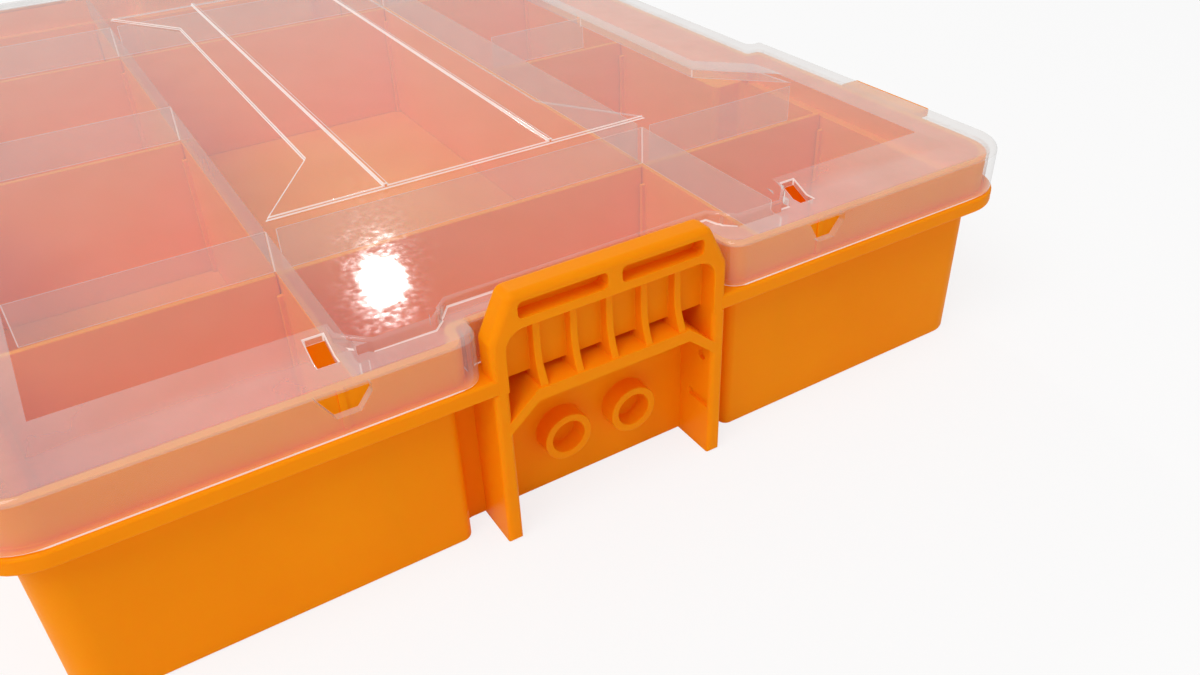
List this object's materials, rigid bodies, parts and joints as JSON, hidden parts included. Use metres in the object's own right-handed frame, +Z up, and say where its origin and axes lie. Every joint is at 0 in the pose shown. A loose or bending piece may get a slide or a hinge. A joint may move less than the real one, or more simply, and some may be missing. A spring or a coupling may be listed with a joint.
{
  "type": "organizer case",
  "caption": "Shallow amber organizer case with a clear hinged lid, loose dividers, two latches, side brackets and a carry handle.",
  "frame": {"origin": "on the surface that the case stands on, under the middle of its ledge", "axes": "+X to the right along the case, -Y to the front with the handle and latches, +Z up"},
  "size_m": [0.33, 0.2708, 0.065],
  "materials": {
    "amber_plastic": "fine satin",
    "clear_plastic": "clear, slightly hazy plastic",
    "pin_steel": "plain"
  },
  "bodies": {
    "base": {"base_tray": "amber_plastic", "long_divider_rear": "amber_plastic", "long_divider_front": "amber_plastic", "cross_divider_rear_left": "amber_plastic", "cross_divider_front_left": "amber_plastic", "cross_divider_centre_left": "amber_plastic", "cross_divider_rear_middle": "amber_plastic", "cross_divider_front_middle": "amber_plastic", "cross_divider_rear_right": "amber_plastic", "cross_divider_front_right": "amber_plastic", "cross_divider_centre_right": "amber_plastic", "hinge_pin_left": "pin_steel", "hinge_pin_right": "pin_steel", "latch_pin_left": "pin_steel", "latch_pin_right": "pin_steel", "handle_pin_left": "pin_steel", "handle_pin_right": "pin_steel"},
    "lid": {"lid": "clear_plastic"},
    "latch_left": {"latch_left": "amber_plastic"},
    "latch_right": {"latch_right": "amber_plastic"},
    "handle": {"carry_handle": "amber_plastic"}
  },
  "joints": [
    {"name": "lid_hinge", "type": "hinge", "parent": "base", "child": "lid", "pos_m": [0, 0.1322, 0.048], "axis": [-1, 0, 0], "range_deg": [0, 180]},
    {"name": "latch_left_hinge", "type": "hinge", "parent": "base", "child": "latch_left", "pos_m": [-0.112, -0.1286, 0.035], "axis": [1, 0, 0], "range_deg": [0, 100]},
    {"name": "latch_right_hinge", "type": "hinge", "parent": "base", "child": "latch_right", "pos_m": [0.112, -0.1286, 0.035], "axis": [1, 0, 0], "range_deg": [0, 100]},
    {"name": "handle_hinge", "type": "hinge", "parent": "base", "child": "handle", "pos_m": [0, -0.1173, 0.036], "axis": [-1, 0, 0], "range_deg": [0, 90]}
  ]
}
